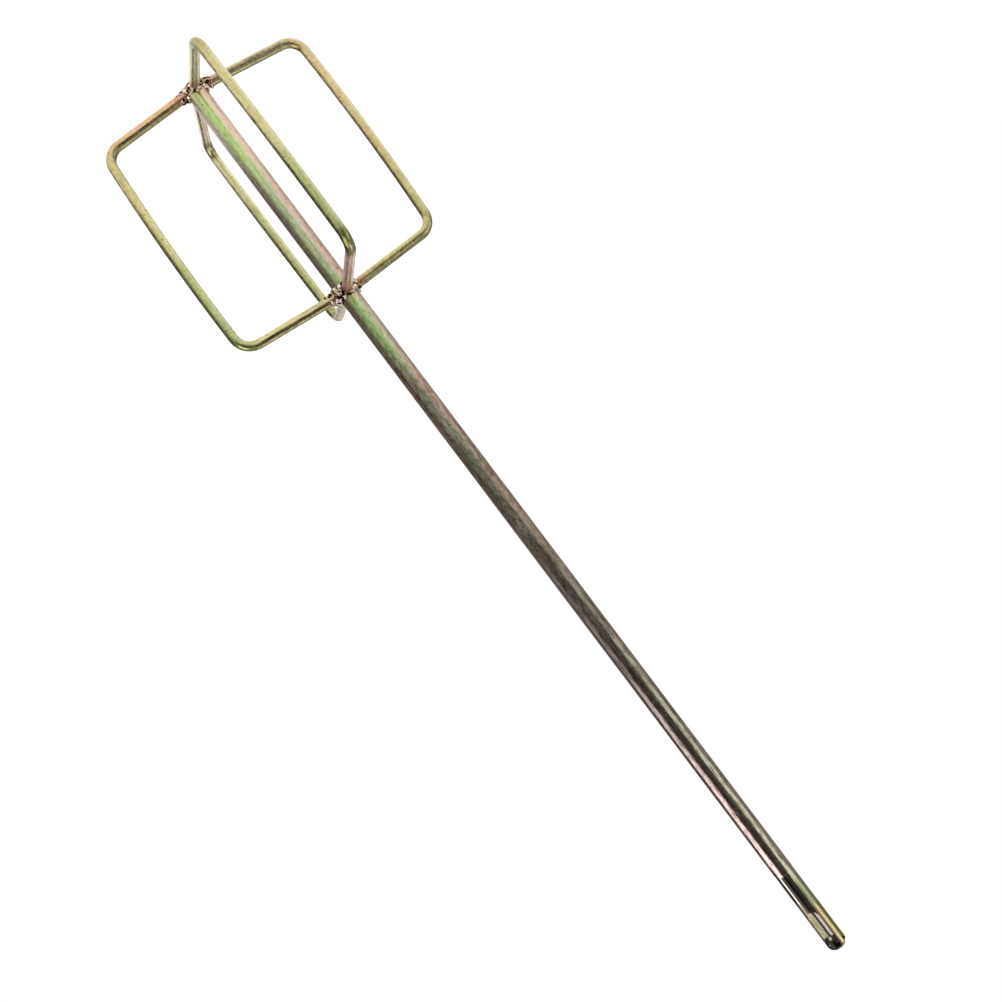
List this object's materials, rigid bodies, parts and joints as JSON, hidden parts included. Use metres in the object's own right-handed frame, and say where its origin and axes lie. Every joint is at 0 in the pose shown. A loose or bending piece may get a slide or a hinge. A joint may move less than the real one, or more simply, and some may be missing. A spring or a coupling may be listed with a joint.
{
  "type": "mortar mixing paddle",
  "caption": "Mortar mixing paddle: round plated bar with a slotted hammer-drill shank at one end and an open cage of bent wire wings welded to the other.",
  "frame": {"origin": "on the bar's axis at the shoulder where the ground shank begins", "axes": "+Z along the bar to the shank's free end, so the cage hangs below as it does in a drill; -Y through wing_front, +X through wing_right"},
  "size_m": [0.1203, 0.1202, 0.5205],
  "materials": {
    "bar_steel": "yellow chromate on zinc plating, iridescent",
    "wire_steel": "yellow chromate on zinc plating, satin",
    "weld_metal": "rough weld bead, plated over"
  },
  "bodies": {
    "root": {"shaft": "bar_steel", "wing_front": "wire_steel", "wing_right": "wire_steel", "wing_back": "wire_steel", "wing_left": "wire_steel", "weld_upper_front": "weld_metal", "weld_upper_right": "weld_metal", "weld_upper_back": "weld_metal", "weld_upper_left": "weld_metal", "weld_lower_front": "weld_metal", "weld_lower_right": "weld_metal", "weld_lower_back": "weld_metal", "weld_lower_left": "weld_metal"}
  },
  "joints": []
}
